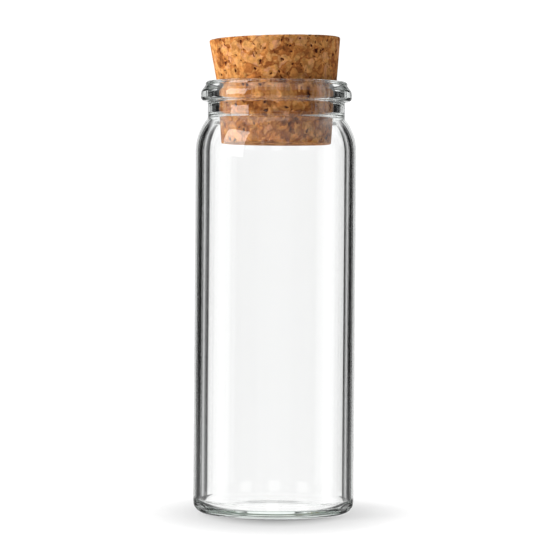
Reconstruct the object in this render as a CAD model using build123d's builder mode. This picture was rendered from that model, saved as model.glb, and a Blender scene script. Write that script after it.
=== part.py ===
from build123d import *
from math import cos, radians, sin, tan
import os

# Corked sample vial: one length of clear glass tube with a flat foot, a round shoulder, a short
# neck and a beaded lip, closed by a tapered stopper of agglomerated cork.
# Millimetres, +Z up. The origin is on the tube's axis, in the plane that the foot stands on.

# Glass tube
BODY_RADIUS = 15.0
WALL = 1.2
GLASS_HEIGHT = 80.5

# Foot: a flat ring to stand on, round a shallow push-up
HEEL_ROUND = 2.3
RING_INNER_RADIUS = 8.6
PUSH_UP = 0.45
FLOOR_HEIGHT = 1.6
FLOOR_CROWN = 1.95
INNER_HEEL_ROUND = 1.2
DOME_ROUND = 55.0

# Shoulder and neck, squeezed in from the tube while it is hot
SHOULDER_SLOPE = 38.0  # degrees from the tube's axis, where the shoulder meets the neck
SHOULDER_ROUND = 9.7
INNER_SHOULDER_ROUND = 8.5
NECK_RADIUS = 12.8
NECK_BOTTOM = 73.65
NECK_ROUND = 0.45
BORE_RADIUS = 10.72
BORE_BOTTOM = 74.3
BORE_ROUND = 1.5

# Lip: a fire-polished rim over a bead
LIP_RADIUS = 14.1
LIP_BOTTOM = 76.7
LIP_UNDERSIDE_RISE = 0.15
LIP_SIDE_TOP = 78.55
LIP_UPPER_ROUND = 1.5
LIP_LOWER_ROUND = 0.75
RIM_RADIUS = 13.25
RIM_STEP = 79.75
RIM_STEP_ROUND = 0.35
RIM_OUTER_ROUND = 0.5
RIM_INNER_ROUND = 0.8

# Stopper: cylindrical where the bore squeezes it, tapered above and below
CORK_FIT = 0.06  # clearance all round in the bore
CORK_BOTTOM = 69.0
CORK_BOTTOM_RADIUS = 10.24
CORK_BOTTOM_EDGE = 0.25
CORK_FLARE_BOTTOM = 80.1
HEAD_BOTTOM = 80.9
HEAD_BOTTOM_RADIUS = 11.26
HEAD_TOP = 88.55
HEAD_TOP_RADIUS = 12.3
HEAD_LEAN = 3.0  # degrees towards -X, of the head's sides
HEAD_TILT = 1.8  # degrees towards -X, of the head's top face
HEAD_EDGE = 0.3

os.makedirs("parts", exist_ok=True)


def tube_corner(tube_radius, neck_radius, neck_height):
    """Height at which the shoulder's slope, run out from the neck, meets the tube's straight wall."""
    return neck_height - (tube_radius - neck_radius) / tan(radians(SHOULDER_SLOPE))


def rounded_outline(corners):
    """Closed outline through (radius, height, rounding) corners, to be revolved about the axis."""
    points = [(radius, height) for radius, height, rounding in corners]
    FilletPolyline(*points, radius=[rounding for radius, height, rounding in corners], close=True)


# ---- Glass vial -------------------------------------------------------------
# One wall all round: up the inside from the floor, over the rim, and down the outside.
inner_radius = BODY_RADIUS - WALL
inner_corner = tube_corner(inner_radius, BORE_RADIUS, BORE_BOTTOM)
outer_corner = tube_corner(BODY_RADIUS, NECK_RADIUS, NECK_BOTTOM)

inside = [
    (0, FLOOR_CROWN, 0),
    (inner_radius / 2, FLOOR_CROWN, DOME_ROUND),
    (inner_radius, FLOOR_HEIGHT, INNER_HEEL_ROUND),
    (inner_radius, inner_corner, INNER_SHOULDER_ROUND),
    (BORE_RADIUS, BORE_BOTTOM, BORE_ROUND),
    (BORE_RADIUS, GLASS_HEIGHT, RIM_INNER_ROUND),
]
lip = [
    (RIM_RADIUS, GLASS_HEIGHT, RIM_OUTER_ROUND),
    (RIM_RADIUS, RIM_STEP, RIM_STEP_ROUND),
    (LIP_RADIUS, LIP_SIDE_TOP, LIP_UPPER_ROUND),
    (LIP_RADIUS, LIP_BOTTOM + LIP_UNDERSIDE_RISE, LIP_LOWER_ROUND),
    (NECK_RADIUS, LIP_BOTTOM, NECK_ROUND),
]
outside = [
    (NECK_RADIUS, NECK_BOTTOM, NECK_ROUND),
    (BODY_RADIUS, outer_corner, SHOULDER_ROUND),
    (BODY_RADIUS, 0, HEEL_ROUND),
    (RING_INNER_RADIUS, 0, 0),
    (RING_INNER_RADIUS / 2, PUSH_UP, DOME_ROUND),
    (0, PUSH_UP, 0),
]

with BuildPart() as glass_vial:
    with BuildSketch(Plane.XZ):
        with BuildLine():
            rounded_outline(inside + lip + outside)
        make_face()
    revolve(axis=Axis.Z)

# ---- Cork stopper -----------------------------------------------------------
# The plug is round and upright in the neck. The head leans a little, as a cork pushed in by hand
# does, so it is lofted to a tilted disc on top.
plug_radius = BORE_RADIUS - CORK_FIT
plug = [
    (0, CORK_BOTTOM, 0),
    (CORK_BOTTOM_RADIUS, CORK_BOTTOM, CORK_BOTTOM_EDGE),
    (plug_radius, BORE_BOTTOM, 0),
    (plug_radius, CORK_FLARE_BOTTOM, 0),
    (HEAD_BOTTOM_RADIUS, HEAD_BOTTOM, 0),
    (0, HEAD_BOTTOM, 0),
]
head_height = HEAD_TOP - HEAD_BOTTOM
tilt = radians(HEAD_TILT)
head_top = Plane(
    origin=(-head_height * tan(radians(HEAD_LEAN)), 0, HEAD_TOP),
    x_dir=(cos(tilt), 0, sin(tilt)),
    z_dir=(-sin(tilt), 0, cos(tilt)),
)

with BuildPart() as cork_stopper:
    with BuildSketch(Plane.XZ):
        with BuildLine():
            rounded_outline(plug)
        make_face()
    revolve(axis=Axis.Z)
    with BuildSketch(Plane.XY.offset(HEAD_BOTTOM)):
        Circle(HEAD_BOTTOM_RADIUS)
    with BuildSketch(head_top):
        Circle(HEAD_TOP_RADIUS)
    loft()
    fillet(cork_stopper.edges().sort_by(Axis.Z)[-1], HEAD_EDGE)

# ---- Write one file for each piece ------------------------------------------
glass_vial.part.label = "glass_vial"
export_step(glass_vial.part, "parts/glass_vial.step")

cork_stopper.part.label = "cork_stopper"
export_step(cork_stopper.part, "parts/cork_stopper.step")
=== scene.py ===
import bmesh
import bpy
import math
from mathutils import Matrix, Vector


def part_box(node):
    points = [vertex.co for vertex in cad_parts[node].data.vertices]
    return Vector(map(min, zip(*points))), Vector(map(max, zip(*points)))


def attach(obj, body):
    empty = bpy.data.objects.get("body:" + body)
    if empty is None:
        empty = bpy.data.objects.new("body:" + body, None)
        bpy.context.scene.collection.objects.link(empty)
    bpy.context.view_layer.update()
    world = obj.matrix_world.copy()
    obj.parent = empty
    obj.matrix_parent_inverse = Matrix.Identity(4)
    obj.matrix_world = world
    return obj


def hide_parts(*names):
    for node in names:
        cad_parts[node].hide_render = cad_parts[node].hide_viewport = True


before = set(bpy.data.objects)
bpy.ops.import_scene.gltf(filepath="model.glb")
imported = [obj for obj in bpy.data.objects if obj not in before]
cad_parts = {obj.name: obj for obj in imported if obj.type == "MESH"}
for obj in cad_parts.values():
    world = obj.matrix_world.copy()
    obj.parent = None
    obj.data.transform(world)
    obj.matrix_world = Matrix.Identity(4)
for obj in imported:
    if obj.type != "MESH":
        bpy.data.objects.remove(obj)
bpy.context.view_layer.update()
scene = bpy.context.scene
MM = 0.001


# ---- Glass vial -------------------------------------------------------------
# One length of clear soda-lime tube. Flame and a mandrel squeeze in the shoulder and neck, roll
# the lip into a bead and close the foot, so every edge is melted round and the walls are a little
# uneven.

glass_low, glass_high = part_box("glass_vial")
BODY = (glass_high.y - glass_low.y) / 2 / MM  # radii and heights in mm
RIM = glass_high.z / MM
WALL = 1.2
FLOOR = 1.6
FLOOR_CROWN = 1.95
INNER_HEEL_ROUND = 1.2
HEEL_ROUND = 2.3
RING = 8.6
PUSH_UP = 0.45
DOME_ROUND = 55.0
SHOULDER_SLOPE = math.radians(38)  # from the axis
SHOULDER_ROUND = 9.7
INNER_SHOULDER_ROUND = 8.5
NECK = 12.8
NECK_BOTTOM = 73.65
NECK_ROUND = 0.45
BORE = 10.72
BORE_BOTTOM = 74.3
BORE_ROUND = 1.5
LIP = 14.1
LIP_BOTTOM = 76.7
LIP_UNDERSIDE_RISE = 0.15
LIP_SIDE_TOP = RIM - 1.95
LIP_UPPER_ROUND = 1.5
LIP_LOWER_ROUND = 0.75
RIM_RADIUS = 13.25
RIM_STEP = RIM - 0.75
RIM_STEP_ROUND = 0.35
RIM_OUTER_ROUND = 0.5
RIM_INNER_ROUND = 0.8

ARC_STEP = math.radians(6)
GLASS_RUN_STEP = 2.0
GLASS_SEGMENTS = 320
GLASS_UNEVENNESS = 0.02
GLASS_WAVES = (9.0, 9.0, 50.0)  # mm from crest to crest; the tube is drawn along its length
WELD = 0.0005  # mm within which the lathe's points are joined


def tube_corner(tube, neck, neck_height):
    """Height at which the shoulder's slope, run out from the neck, meets the straight wall."""
    return neck_height - (tube - neck) / math.tan(SHOULDER_SLOPE)


def rounded(corners, run_step):
    """Points along an outline through (radius, height, rounding) corners, rounded with arcs."""
    outline = [Vector(corners[0][:2])]
    for before, here, after in zip(corners, corners[1:], corners[2:]):
        corner = Vector(here[:2])
        rounding = here[2]
        if rounding == 0:
            outline.append(corner)
            continue
        back = (Vector(before[:2]) - corner).normalized()
        on = (Vector(after[:2]) - corner).normalized()
        half = back.angle(on) / 2
        centre = corner + (back + on).normalized() * rounding / math.sin(half)
        reach = rounding / math.tan(half)
        first, last = corner + back * reach - centre, corner + on * reach - centre
        turn = math.pi - 2 * half
        steps = max(3, math.ceil(turn / ARC_STEP))
        for k in range(steps + 1):
            share = k / steps * turn
            spoke = (first * math.sin(turn - share) + last * math.sin(share)) / math.sin(turn)
            outline.append(centre + spoke)
    outline.append(Vector(corners[-1][:2]))

    points = [outline[0]]
    for start, end in zip(outline, outline[1:]):
        steps = max(1, math.ceil((end - start).length / run_step))
        points += [start.lerp(end, k / steps) for k in range(1, steps + 1)]
    return points


def add(tree, kind, inputs=None, **settings):
    """One node, with its settings, and its inputs by name or number: values or sockets to link."""
    made = tree.nodes.new(kind)
    for key, value in settings.items():
        setattr(made, key, value)
    for key, value in (inputs or {}).items():
        if isinstance(value, bpy.types.NodeSocket):
            tree.links.new(value, made.inputs[key])
        else:
            made.inputs[key].default_value = value
    return made


def colour(code):
    """An sRGB hex colour as linear red, green, blue and alpha."""
    shares = [int(code[k:k + 2], 16) / 255 for k in (1, 3, 5)]
    return [s / 12.92 if s <= 0.04045 else ((s + 0.055) / 1.055) ** 2.4 for s in shares] + [1]


def new_tree(name, sizes):
    """A geometry tree that takes a mesh and the named sizes, and gives a mesh."""
    tree = bpy.data.node_groups.new(name, "GeometryNodeTree")
    tree.interface.new_socket("Geometry", in_out="INPUT", socket_type="NodeSocketGeometry")
    for size, kind in sizes.items():
        tree.interface.new_socket(size, in_out="INPUT", socket_type=kind)
    tree.interface.new_socket("Geometry", in_out="OUTPUT", socket_type="NodeSocketGeometry")
    return tree, add(tree, "NodeGroupInput").outputs


def run_tree(piece, tree, sizes):
    """Runs a geometry tree on a piece once and keeps the result as a plain mesh."""
    step = piece.modifiers.new(tree.name, "NODES")
    step.node_group = tree
    for socket in tree.interface.items_tree:
        if socket.name in sizes:
            step[socket.identifier] = sizes[socket.name]
    evaluated = piece.evaluated_get(bpy.context.evaluated_depsgraph_get())
    made = bpy.data.meshes.new_from_object(evaluated)
    piece.modifiers.remove(step)
    piece.data = made


# The lathe: every point of a half section becomes one ring of vertices round the axis, and slow
# waves press the surface in by no more than the unevenness.
lathe, given = new_tree("lathe", {
    "Segments": "NodeSocketInt",
    "Unevenness": "NodeSocketFloat",
    "Wave lengths": "NodeSocketVector",
    "Seed": "NodeSocketFloat",
    "Material": "NodeSocketMaterial",
})
count = add(lathe, "GeometryNodeAttributeDomainSize", {0: given["Geometry"]})
columns = add(lathe, "FunctionNodeIntegerMath", {0: given["Segments"], 1: 1}, operation="ADD")
sheet = add(lathe, "GeometryNodeMeshGrid", {
    "Vertices X": count.outputs["Point Count"],
    "Vertices Y": columns.outputs[0],
})
index = add(lathe, "GeometryNodeInputIndex")
ring = add(lathe, "FunctionNodeIntegerMath",
           {0: index.outputs[0], 1: columns.outputs[0]}, operation="DIVIDE_FLOOR")
column = add(lathe, "FunctionNodeIntegerMath",
             {0: index.outputs[0], 1: columns.outputs[0]}, operation="MODULO")
position = add(lathe, "GeometryNodeInputPosition")
section = add(lathe, "GeometryNodeSampleIndex", {
    "Geometry": given["Geometry"],
    "Value": position.outputs[0],
    "Index": ring.outputs[0],
}, data_type="FLOAT_VECTOR")
turn = add(lathe, "ShaderNodeMath",
           {0: column.outputs[0], 1: given["Segments"]}, operation="DIVIDE")
angle = add(lathe, "ShaderNodeMath", {0: turn.outputs[0], 1: math.tau}, operation="MULTIPLY")
turned = add(lathe, "ShaderNodeVectorRotate", {
    "Vector": section.outputs["Value"],
    "Angle": angle.outputs[0],
}, rotation_type="Z_AXIS")
stretched = add(lathe, "ShaderNodeVectorMath",
                {0: turned.outputs[0], 1: given["Wave lengths"]}, operation="DIVIDE")
waves = add(lathe, "ShaderNodeTexNoise", {
    "Vector": stretched.outputs[0],
    "W": given["Seed"],
    "Scale": 1.0,
    "Detail": 2.0,
    "Roughness": 0.4,
}, noise_dimensions="4D")
inward = add(lathe, "ShaderNodeMath",
             {0: waves.outputs[0], 1: given["Unevenness"]}, operation="MULTIPLY")
flat = add(lathe, "ShaderNodeVectorMath",
           {0: turned.outputs[0], 1: (1, 1, 0)}, operation="MULTIPLY")
out = add(lathe, "ShaderNodeVectorMath", {0: flat.outputs[0]}, operation="NORMALIZE")
shift = add(lathe, "ShaderNodeVectorMath",
            {0: out.outputs[0], "Scale": inward.outputs[0]}, operation="SCALE")
settled = add(lathe, "ShaderNodeVectorMath",
              {0: turned.outputs[0], 1: shift.outputs[0]}, operation="SUBTRACT")
placed = add(lathe, "GeometryNodeSetPosition", {
    "Geometry": sheet.outputs["Mesh"],
    "Position": settled.outputs[0],
})
closed = add(lathe, "GeometryNodeMergeByDistance", {
    "Geometry": placed.outputs[0],
    "Distance": WELD * MM,
})
smooth = add(lathe, "GeometryNodeSetShadeSmooth", {"Geometry": closed.outputs[0]})
whole = add(lathe, "GeometryNodeRealizeInstances", {"Geometry": smooth.outputs[0]})
finished = add(lathe, "GeometryNodeSetMaterial", {
    "Geometry": whole.outputs[0],
    "Material": given["Material"],
})
add(lathe, "NodeGroupOutput", {0: finished.outputs[0]})


def turned_piece(name, outline, sizes):
    """A closed solid of revolution from an outline in mm that starts and ends on the axis."""
    mesh = bpy.data.meshes.new(name)
    mesh.from_pydata([(r * MM, 0, z * MM) for r, z in outline],
                     [(k, k + 1) for k in range(len(outline) - 1)], [])
    piece = bpy.data.objects.new(name, mesh)
    scene.collection.objects.link(piece)
    run_tree(piece, lathe, sizes)
    shell = bmesh.new()
    shell.from_mesh(piece.data)
    bmesh.ops.recalc_face_normals(shell, faces=shell.faces)
    shell.to_mesh(piece.data)
    shell.free()
    return piece


# Fire-polished soda-lime glass: its iron tints it a faint green, which only shows where light runs
# a long way inside it, in the foot and along the walls.
soda_lime = bpy.data.materials.new("soda_lime_glass")
soda_lime.use_nodes = True
tree = soda_lime.node_tree
tree.nodes.clear()
surface = add(tree, "ShaderNodeBsdfPrincipled", {
    "Base Color": (1, 1, 1, 1),
    "Roughness": 0.0,
    "IOR": 1.52,
    "Transmission Weight": 1.0,
})
tint = add(tree, "ShaderNodeVolumeAbsorption", {"Color": colour("#b4dcc6"), "Density": 9.0})
add(tree, "ShaderNodeOutputMaterial", {"Surface": surface.outputs[0], "Volume": tint.outputs[0]})

inner = BODY - WALL
glass_outline = [
    (0, FLOOR_CROWN, 0),
    (inner / 2, FLOOR_CROWN, DOME_ROUND),
    (inner, FLOOR, INNER_HEEL_ROUND),
    (inner, tube_corner(inner, BORE, BORE_BOTTOM), INNER_SHOULDER_ROUND),
    (BORE, BORE_BOTTOM, BORE_ROUND),
    (BORE, RIM, RIM_INNER_ROUND),
    (RIM_RADIUS, RIM, RIM_OUTER_ROUND),
    (RIM_RADIUS, RIM_STEP, RIM_STEP_ROUND),
    (LIP, LIP_SIDE_TOP, LIP_UPPER_ROUND),
    (LIP, LIP_BOTTOM + LIP_UNDERSIDE_RISE, LIP_LOWER_ROUND),
    (NECK, LIP_BOTTOM, NECK_ROUND),
    (NECK, NECK_BOTTOM, NECK_ROUND),
    (BODY, tube_corner(BODY, NECK, NECK_BOTTOM), SHOULDER_ROUND),
    (BODY, 0, HEEL_ROUND),
    (RING, 0, 0),
    (RING / 2, PUSH_UP, DOME_ROUND),
    (0, PUSH_UP, 0),
]
vial = turned_piece("vial_glass", rounded(glass_outline, GLASS_RUN_STEP), {
    "Segments": GLASS_SEGMENTS,
    "Unevenness": GLASS_UNEVENNESS * MM,
    "Wave lengths": Vector(GLASS_WAVES) * MM,
    "Seed": 3.0,
    "Material": soda_lime,
})
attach(vial, "vial")
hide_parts("glass_vial")


# ---- Cork stopper -----------------------------------------------------------
# Cork bark ground to 2 to 3 mm granules, glued and pressed into a block, turned to a taper and
# sanded. Sanding tears out the woody bits, which leaves dark pits between the granules.

cork_low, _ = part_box("cork_stopper")
CORK_BOTTOM = cork_low.z / MM
CORK_BOTTOM_RADIUS = 10.24
CORK_BOTTOM_EDGE = 0.25
PLUG = BORE - 0.07
PLUG_ROUND = 6.0
FLARE_BOTTOM = 80.1
HEAD_BOTTOM = 80.9
HEAD_BOTTOM_RADIUS = 11.26
HEAD_TOP = 88.5
HEAD_TOP_RADIUS = 12.24
HEAD_LEAN = math.radians(3.0)
HEAD_TILT = math.radians(1.8)
HEAD_EDGE = 0.3

GRANULE = 2.2  # mm from here on, but for shares, levels and counts
GRANULE_WARP = 1.5
WARP_SIZE = 1.3
SEAM_WIDTH = 0.09  # as a share of a granule
SEAM_DEPTH = 0.03
TORN_AREA = 2.6
TORN_FROM, TORN_WHOLLY = 0.42, 0.6  # noise levels where seams start to open, and are wholly open
PIT_SPACING = 0.92
UNPITTED = 0.2  # share of the bits that leave no pit
PIT_REACH = 0.48  # this and the next two are shares of the spacing
PIT_REACH_IN_SEAM = 0.16
PIT_RIM = 0.16
PIT_DEPTH = 0.28
BIT_TONE = 0.4  # how much of the tone comes from a bit, and not from its granule
CORK_STEP = 0.24
CORK_SEGMENTS = 300
CORK_UNEVENNESS = 0.03
CORK_WAVES = (6.0, 6.0, 6.0)


def crumb(tree, point):
    """What the granules do at a point: their tone, the seams between them and the torn pits."""
    bent = add(tree, "ShaderNodeTexNoise",
               {"Vector": point, "Scale": 1 / (WARP_SIZE * MM), "Detail": 2.0})
    bend = add(tree, "ShaderNodeVectorMath", {0: bent.outputs["Color"], 1: (0.5, 0.5, 0.5)},
               operation="SUBTRACT")
    moved = add(tree, "ShaderNodeVectorMath",
                {0: bend.outputs[0], 1: [GRANULE_WARP * MM] * 3, 2: point},
                operation="MULTIPLY_ADD")
    granules = add(tree, "ShaderNodeTexVoronoi",
                   {"Vector": moved.outputs[0], "Scale": 1 / (GRANULE * MM)})
    edges = add(tree, "ShaderNodeTexVoronoi",
                {"Vector": moved.outputs[0], "Scale": 1 / (GRANULE * MM)},
                feature="DISTANCE_TO_EDGE")
    seams = add(tree, "ShaderNodeMapRange", {
        "Value": edges.outputs["Distance"],
        "From Min": 0.0,
        "From Max": SEAM_WIDTH,
        "To Min": 1.0,
        "To Max": 0.0,
    })
    torn = add(tree, "ShaderNodeTexNoise",
               {"Vector": point, "Scale": 1 / (TORN_AREA * MM), "Detail": 1.0})
    loose = add(tree, "ShaderNodeMapRange", {
        "Value": torn.outputs[0],
        "From Min": TORN_FROM,
        "From Max": TORN_WHOLLY,
    })
    open_seams = add(tree, "ShaderNodeMath", {0: seams.outputs[0], 1: loose.outputs[0]},
                     operation="MULTIPLY")
    bits = add(tree, "ShaderNodeTexVoronoi",
               {"Vector": moved.outputs[0], "Scale": 1 / (PIT_SPACING * MM)})
    chosen = add(tree, "ShaderNodeSeparateXYZ", {0: bits.outputs["Color"]})
    reach = add(tree, "ShaderNodeMapRange", {
        "Value": chosen.outputs[0],
        "From Min": UNPITTED,
        "From Max": 1.0,
        "To Min": 0.0,
        "To Max": PIT_REACH,
    })
    wider = add(tree, "ShaderNodeMath",
                {0: open_seams.outputs[0], 1: PIT_REACH_IN_SEAM, 2: reach.outputs[0]},
                operation="MULTIPLY_ADD")
    inside = add(tree, "ShaderNodeMath", {0: wider.outputs[0], 1: bits.outputs["Distance"]},
                 operation="SUBTRACT")
    pits = add(tree, "ShaderNodeMapRange", {
        "Value": inside.outputs[0],
        "From Min": 0.0,
        "From Max": PIT_RIM,
    }, interpolation_type="SMOOTHSTEP")
    tone = add(tree, "ShaderNodeMix",
               {0: BIT_TONE, 4: granules.outputs["Color"], 5: bits.outputs["Color"]},
               data_type="VECTOR")
    return tone.outputs[1], open_seams.outputs[0], pits.outputs[0]


def ramp(tree, share, stops):
    """Colours that run from one to the next, each at its own share."""
    made = add(tree, "ShaderNodeValToRGB", {0: share})
    marks = made.color_ramp.elements
    marks.remove(marks[1])
    for k, (at, shade) in enumerate(stops):
        mark = marks[0] if k == 0 else marks.new(at)
        mark.position = at
        mark.color = shade
    return made.outputs[0]


# The sanding: pits and seams sink in, then the head leans a little and its top face tilts.
sanding, given = new_tree("sanded cork", {
    "Head bottom": "NodeSocketFloat",
    "Head height": "NodeSocketFloat",
    "Lean": "NodeSocketFloat",
    "Tilt": "NodeSocketFloat",
    "Pit depth": "NodeSocketFloat",
    "Seam depth": "NodeSocketFloat",
    "Material": "NodeSocketMaterial",
})
position = add(sanding, "GeometryNodeInputPosition")
normal = add(sanding, "GeometryNodeInputNormal")
tone, seams, pits = crumb(sanding, position.outputs[0])
pit_depth = add(sanding, "ShaderNodeMath", {0: pits, 1: given["Pit depth"]}, operation="MULTIPLY")
depth = add(sanding, "ShaderNodeMath", {0: seams, 1: given["Seam depth"], 2: pit_depth.outputs[0]},
            operation="MULTIPLY_ADD")
hollow = add(sanding, "ShaderNodeVectorMath", {0: normal.outputs[0], "Scale": depth.outputs[0]},
             operation="SCALE")
sanded = add(sanding, "ShaderNodeVectorMath", {0: position.outputs[0], 1: hollow.outputs[0]},
             operation="SUBTRACT")
axes = add(sanding, "ShaderNodeSeparateXYZ", {0: sanded.outputs[0]})
above = add(sanding, "ShaderNodeMath",
            {0: axes.outputs[2], 1: given["Head bottom"]}, operation="SUBTRACT")
rise = add(sanding, "ShaderNodeMath", {0: above.outputs[0], 1: 0.0}, operation="MAXIMUM")
lean = add(sanding, "ShaderNodeMath", {0: given["Lean"]}, operation="TANGENT")
aside = add(sanding, "ShaderNodeMath",
            {0: rise.outputs[0], 1: lean.outputs[0]}, operation="MULTIPLY")
left = add(sanding, "ShaderNodeMath",
           {0: axes.outputs[0], 1: aside.outputs[0]}, operation="SUBTRACT")
share = add(sanding, "ShaderNodeMath",
            {0: rise.outputs[0], 1: given["Head height"]}, operation="DIVIDE")
tilt = add(sanding, "ShaderNodeMath", {0: given["Tilt"]}, operation="TANGENT")
slant = add(sanding, "ShaderNodeMath",
            {0: share.outputs[0], 1: tilt.outputs[0]}, operation="MULTIPLY")
up = add(sanding, "ShaderNodeMath", {0: axes.outputs[0], 1: slant.outputs[0], 2: axes.outputs[2]},
         operation="MULTIPLY_ADD")
leaning = add(sanding, "ShaderNodeCombineXYZ",
              {0: left.outputs[0], 1: axes.outputs[1], 2: up.outputs[0]})
placed = add(sanding, "GeometryNodeSetPosition", {
    "Geometry": given["Geometry"],
    "Position": leaning.outputs[0],
})
whole = add(sanding, "GeometryNodeRealizeInstances", {"Geometry": placed.outputs[0]})
finished = add(sanding, "GeometryNodeSetMaterial", {
    "Geometry": whole.outputs[0],
    "Material": given["Material"],
})
add(sanding, "NodeGroupOutput", {0: finished.outputs[0]})

# Sanded cork: dull, with a mottled tone for each granule, woody brown in the open seams, dark brown
# in the pits and a fine grain from the cells.
sanded_cork = bpy.data.materials.new("agglomerated_cork")
sanded_cork.use_nodes = True
tree = sanded_cork.node_tree
tree.nodes.clear()
TONES = (
    (0.15, "#8c5024"),
    (0.35, "#b87238"),
    (0.5, "#c98646"),
    (0.65, "#d89a58"),
    (0.85, "#d49466"),
)
MOTTLE_SIZE = 1.1
DARKEST, LIGHTEST = 0.48, 1.27  # what the mottling makes of a tone
WOODY = colour("#78340c")
WOODY_SHARE = 0.75
PIT_BROWN = colour("#461803")
CELL = 0.18
CELL_HEIGHT = 0.05

place = add(tree, "ShaderNodeTexCoord")
tone, seams, pits = crumb(tree, place.outputs["Object"])
pick = add(tree, "ShaderNodeSeparateXYZ", {0: tone})
granule_tones = ramp(tree, pick.outputs[1], [(at, colour(code)) for at, code in TONES])
mottle = add(tree, "ShaderNodeTexNoise", {
    "Vector": place.outputs["Object"],
    "Scale": 1 / (MOTTLE_SIZE * MM),
    "Detail": 4.0,
    "Roughness": 0.68,
})
mottled = add(tree, "ShaderNodeMapRange", {
    "Value": mottle.outputs[0],
    "From Min": 0.3,
    "From Max": 0.7,
    "To Min": DARKEST,
    "To Max": LIGHTEST,
})
toned = add(tree, "ShaderNodeMix", {
    0: 1.0,
    6: granule_tones,
    7: mottled.outputs[0],
}, data_type="RGBA", blend_type="MULTIPLY")
faint = add(tree, "ShaderNodeMath", {0: seams, 1: WOODY_SHARE}, operation="MULTIPLY")
seamed = add(tree, "ShaderNodeMix",
             {0: faint.outputs[0], 6: toned.outputs[2], 7: WOODY}, data_type="RGBA")
pitted = add(tree, "ShaderNodeMix", {0: pits, 6: seamed.outputs[2], 7: PIT_BROWN}, data_type="RGBA")
cells = add(tree, "ShaderNodeTexNoise", {
    "Vector": place.outputs["Object"],
    "Scale": 1 / (CELL * MM),
    "Detail": 3.0,
})
grain = add(tree, "ShaderNodeBump", {
    "Strength": 0.5,
    "Distance": CELL_HEIGHT * MM,
    "Height": cells.outputs[0],
})
surface = add(tree, "ShaderNodeBsdfPrincipled", {
    "Base Color": pitted.outputs[2],
    "Roughness": 0.85,
    "IOR": 1.45,
    "Specular IOR Level": 0.2,
    "Normal": grain.outputs[0],
})
add(tree, "ShaderNodeOutputMaterial", {"Surface": surface.outputs[0]})

cork_outline = [
    (0, CORK_BOTTOM, 0),
    (CORK_BOTTOM_RADIUS, CORK_BOTTOM, CORK_BOTTOM_EDGE),
    (PLUG, BORE_BOTTOM, PLUG_ROUND),
    (PLUG, FLARE_BOTTOM, HEAD_EDGE),
    (HEAD_BOTTOM_RADIUS, HEAD_BOTTOM, HEAD_EDGE),
    (HEAD_TOP_RADIUS, HEAD_TOP, HEAD_EDGE),
    (0, HEAD_TOP, 0),
]
stopper = turned_piece("stopper_cork", rounded(cork_outline, CORK_STEP), {
    "Segments": CORK_SEGMENTS,
    "Unevenness": CORK_UNEVENNESS * MM,
    "Wave lengths": Vector(CORK_WAVES) * MM,
    "Seed": 8.0,
    "Material": sanded_cork,
})
run_tree(stopper, sanding, {
    "Head bottom": HEAD_BOTTOM * MM,
    "Head height": (HEAD_TOP - HEAD_BOTTOM) * MM,
    "Lean": HEAD_LEAN,
    "Tilt": HEAD_TILT,
    "Pit depth": PIT_DEPTH * MM,
    "Seam depth": SEAM_DEPTH * MM,
    "Material": sanded_cork,
})
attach(stopper, "cork")
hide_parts("cork_stopper")


# ---- Table, light and camera ------------------------------------------------
# A white table in a white room with soft lamps. Dark cards stand all round with gaps between them:
# the glass shows a gap through its middle and bends the cards into dark lines along its edges,
# from every side.

BACKDROP = 1.08
AMBIENT = 0.22
AMBIENT_IN_GLASS = 0.3  # these make up for the lamps' light, which the glass's shadow holds back
LAMP_SIDE_IN_GLASS = 3.0
LEVEL_CARDS = (  # degrees from the middle of a gap, and the brightness there
    (0.0, 1.0),
    (11.8, 1.0),
    (12.4, 0.015),
    (13.5, 0.06),
    (14.9, 0.22),
    (16.8, 0.5),
    (18.3, 0.95),
    (19.8, 0.95),
    (21.2, 0.22),
    (23.2, 0.05),
    (27.0, 0.03),
    (32.0, 0.01),
    (45.0, 0.01),
)
LOW_CARDS = ((0.0, 1.0), (8.0, 1.0), (9.5, 0.16), (18.0, 0.1), (22.5, 0.1))
CARDS_TURN = math.radians(-1.2)
FRONT_GAP = 0.09
FRONT_GAP_EDGE = (-0.9, -0.94)  # a direction's share along Y where this starts, and is all there
SIDE_DIMMING = 0.15
SIDES_EDGE = (0.86, 0.92)  # shares along X, either way
HAZE = 0.06  # how much white lies over the lower part of the level cards
FRONT_WALL = 0.6
BACK_WALL = 0.95
CEILING = 0.42
LOWEST = 0.95
BACK_WALL_EDGE = (-0.1, 0.3)  # shares along Y
LAMP_SIDE_EDGE = (0.6, -1)  # shares along X
HAZE_EDGE = (-2.3, -4.4)  # from here on, degrees above level
LOW_CARDS_EDGE = (-6, -8)
LOWEST_EDGE = (-32, -42)
WALLS_EDGE = (20, 27)
CEILING_EDGE = (44, 50)

world = bpy.data.worlds.new("studio")
scene.world = world
world.use_nodes = True
tree = world.node_tree
tree.nodes.clear()
look = add(tree, "ShaderNodeTexCoord")
way = add(tree, "ShaderNodeSeparateXYZ", {0: look.outputs["Generated"]})
along_x, along_y, along_z = way.outputs
facing = add(tree, "ShaderNodeMath", {0: along_x, 1: along_y}, operation="ARCTAN2")
bearing = add(tree, "ShaderNodeMath", {0: facing.outputs[0], 1: CARDS_TURN}, operation="ADD")
sideways = add(tree, "ShaderNodeMath", {0: along_x}, operation="ABSOLUTE")


def grey(light):
    return (light, light, light, 1)


def card_ring(stops):
    """Brightness by bearing: a strip of cards that mirrors and repeats all the way round."""
    strip = stops[-1][0]
    folded = add(tree, "ShaderNodeMath", {0: bearing.outputs[0], 1: math.radians(strip)},
                 operation="PINGPONG")
    spread = add(tree, "ShaderNodeMath", {0: folded.outputs[0], 1: math.radians(strip)},
                 operation="DIVIDE")
    return ramp(tree, spread.outputs[0], [(at / strip, grey(light)) for at, light in stops])


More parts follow.
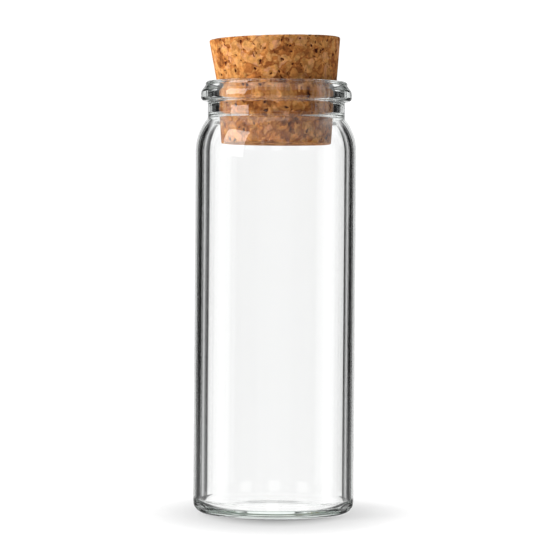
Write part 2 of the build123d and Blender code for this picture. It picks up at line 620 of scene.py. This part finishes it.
def past(share, edge, most=1.0):
    """From 0 to most as a direction's share along an axis crosses an edge."""
    return add(tree, "ShaderNodeMapRange", {
        "Value": share,
        "From Min": edge[0],
        "From Max": edge[1],
        "To Min": 0.0,
        "To Max": most,
    }).outputs[0]


def risen(edge, most=1.0):
    """From 0 to most as a direction's angle above level crosses an edge."""
    return past(along_z, [math.sin(math.radians(degrees)) for degrees in edge], most)


def mixed(share, first, second):
    """Two brightnesses mixed: all of the second where the share is 1."""
    return add(tree, "ShaderNodeMix", {0: share, 6: first, 7: second}, data_type="RGBA").outputs[2]


# Bands of the surroundings, each laid over the last: cards at the vial's own height, low cards, the
# floor under them, then the walls and the ceiling above.
cards = mixed(past(along_y, FRONT_GAP_EDGE), card_ring(LEVEL_CARDS), grey(FRONT_GAP))
cards = mixed(past(sideways.outputs[0], SIDES_EDGE, SIDE_DIMMING), cards, grey(0))
cards = mixed(risen(HAZE_EDGE, HAZE), cards, grey(1))
cards = mixed(risen(LOW_CARDS_EDGE), cards, card_ring(LOW_CARDS))
room = mixed(risen(LOWEST_EDGE), cards, grey(LOWEST))
walls = mixed(past(along_y, BACK_WALL_EDGE), grey(FRONT_WALL), grey(BACK_WALL))
room = mixed(risen(WALLS_EDGE), room, walls)
room = mixed(risen(CEILING_EDGE), room, grey(CEILING))

# Glass and gloss see that room. Dull surfaces get an even light instead, brighter through glass,
# and the camera sees white.
path = add(tree, "ShaderNodeLightPath")
scattered = add(tree, "ShaderNodeMath",
                {0: path.outputs["Diffuse Depth"], 1: 1.0}, operation="MINIMUM")
in_glass = mixed(past(along_x, LAMP_SIDE_EDGE), grey(AMBIENT_IN_GLASS), grey(LAMP_SIDE_IN_GLASS))
ambient = mixed(path.outputs["Is Transmission Ray"], grey(AMBIENT), in_glass)
lit = mixed(scattered.outputs[0], room, ambient)
shown = mixed(path.outputs["Is Camera Ray"], lit, grey(1))
sky = add(tree, "ShaderNodeBackground", {"Color": shown, "Strength": BACKDROP})
add(tree, "ShaderNodeOutputWorld", {"Surface": sky.outputs[0]})

TABLE_RADIUS = 0.3
TABLE_CENTRE = (0.1, 0, -0.05 * MM)
TABLE_PAINT = 0.15
PAINTED_SHADE_SHAPE = (30 * MM, 55 * MM, 1)  # how far the painted shade round the foot reaches on each axis
PAINTED_SHADE = ((0.2, 0.1), (0.47, 0.62), (0.9, 0.97))  # share of that reach, and the glow there: a painted shade, dimmest under the foot

table_mesh = bpy.data.meshes.new("table")
disc = bmesh.new()
bmesh.ops.create_circle(disc, cap_ends=True, segments=96, radius=TABLE_RADIUS)
bmesh.ops.translate(disc, verts=disc.verts, vec=TABLE_CENTRE)
disc.to_mesh(table_mesh)
disc.free()
table = bpy.data.objects.new("table", table_mesh)
table.visible_transmission = False
table.visible_glossy = False
scene.collection.objects.link(table)

# Most of the table's white is an even glow, not lamp light. Towards the foot the glow fades, which
# paints a soft shade round it.
white = bpy.data.materials.new("white_table")
white.use_nodes = True
tree = white.node_tree
tree.nodes.clear()
spot = add(tree, "ShaderNodeTexCoord")
squeezed = add(tree, "ShaderNodeVectorMath", {0: spot.outputs["Object"], 1: PAINTED_SHADE_SHAPE},
               operation="DIVIDE")
away = add(tree, "ShaderNodeVectorMath", {0: squeezed.outputs[0]}, operation="LENGTH")
# The glow dims towards the foot as a painted shade.
glow_with_painted_shade = ramp(tree, away.outputs["Value"], [(at, grey(light)) for at, light in PAINTED_SHADE])
paint = add(tree, "ShaderNodeBsdfDiffuse", {"Color": grey(TABLE_PAINT)})
glow = add(tree, "ShaderNodeEmission", {"Color": glow_with_painted_shade, "Strength": 1.0})
both = add(tree, "ShaderNodeAddShader", {0: paint.outputs[0], 1: glow.outputs[0]})
add(tree, "ShaderNodeOutputMaterial", {"Surface": both.outputs[0]})
table_mesh.materials.append(white)


def softbox(name, place, size, radiance, aim, seen_in_gloss=True):
    """A rectangular lamp of the given brightness, turned to a point and not seen through glass."""
    lamp = bpy.data.lights.new(name, "AREA")
    lamp.shape = "RECTANGLE"
    lamp.size, lamp.size_y = size
    lamp.energy = radiance * math.pi * size[0] * size[1]
    box = bpy.data.objects.new(name, lamp)
    box.location = place
    box.rotation_euler = (Vector(aim) - Vector(place)).to_track_quat("-Z", "Y").to_euler()
    box.visible_camera = False
    box.visible_transmission = False
    box.visible_glossy = seen_in_gloss
    scene.collection.objects.link(box)


softbox("key", place=(-0.45, -0.22, 0.25), size=(0.34, 0.34), radiance=5.6, aim=(0, 0, 0.075))
softbox("side fill", place=(-0.48, -0.13, 0.28), size=(0.3, 0.26), radiance=8.6, aim=(0, 0, 0.08),
        seen_in_gloss=False)
softbox("top", place=(-0.1, 0.0, 0.6), size=(0.5, 0.5), radiance=1.0, aim=(0, 0, 0.08))

CAMERA_PLACE = (0.0004, -0.56, 0.051)
CAMERA_DIP = 0.716  # degrees
CAMERA_ROLL = -0.45
LENS = 194.6  # mm
SENSOR = 36

lens = bpy.data.cameras.new("camera")
lens.lens = LENS
lens.sensor_width = SENSOR
camera = bpy.data.objects.new("camera", lens)
camera.location = CAMERA_PLACE
camera.rotation_euler = (math.radians(90 - CAMERA_DIP), math.radians(CAMERA_ROLL), 0)
scene.collection.objects.link(camera)
scene.camera = camera
scene.view_settings.view_transform = "Standard"

# Light is turned back many times inside the foot and the lip, which lower limits would leave black.
scene.cycles.max_bounces = 24
scene.cycles.glossy_bounces = 20
scene.cycles.transmission_bounces = 20
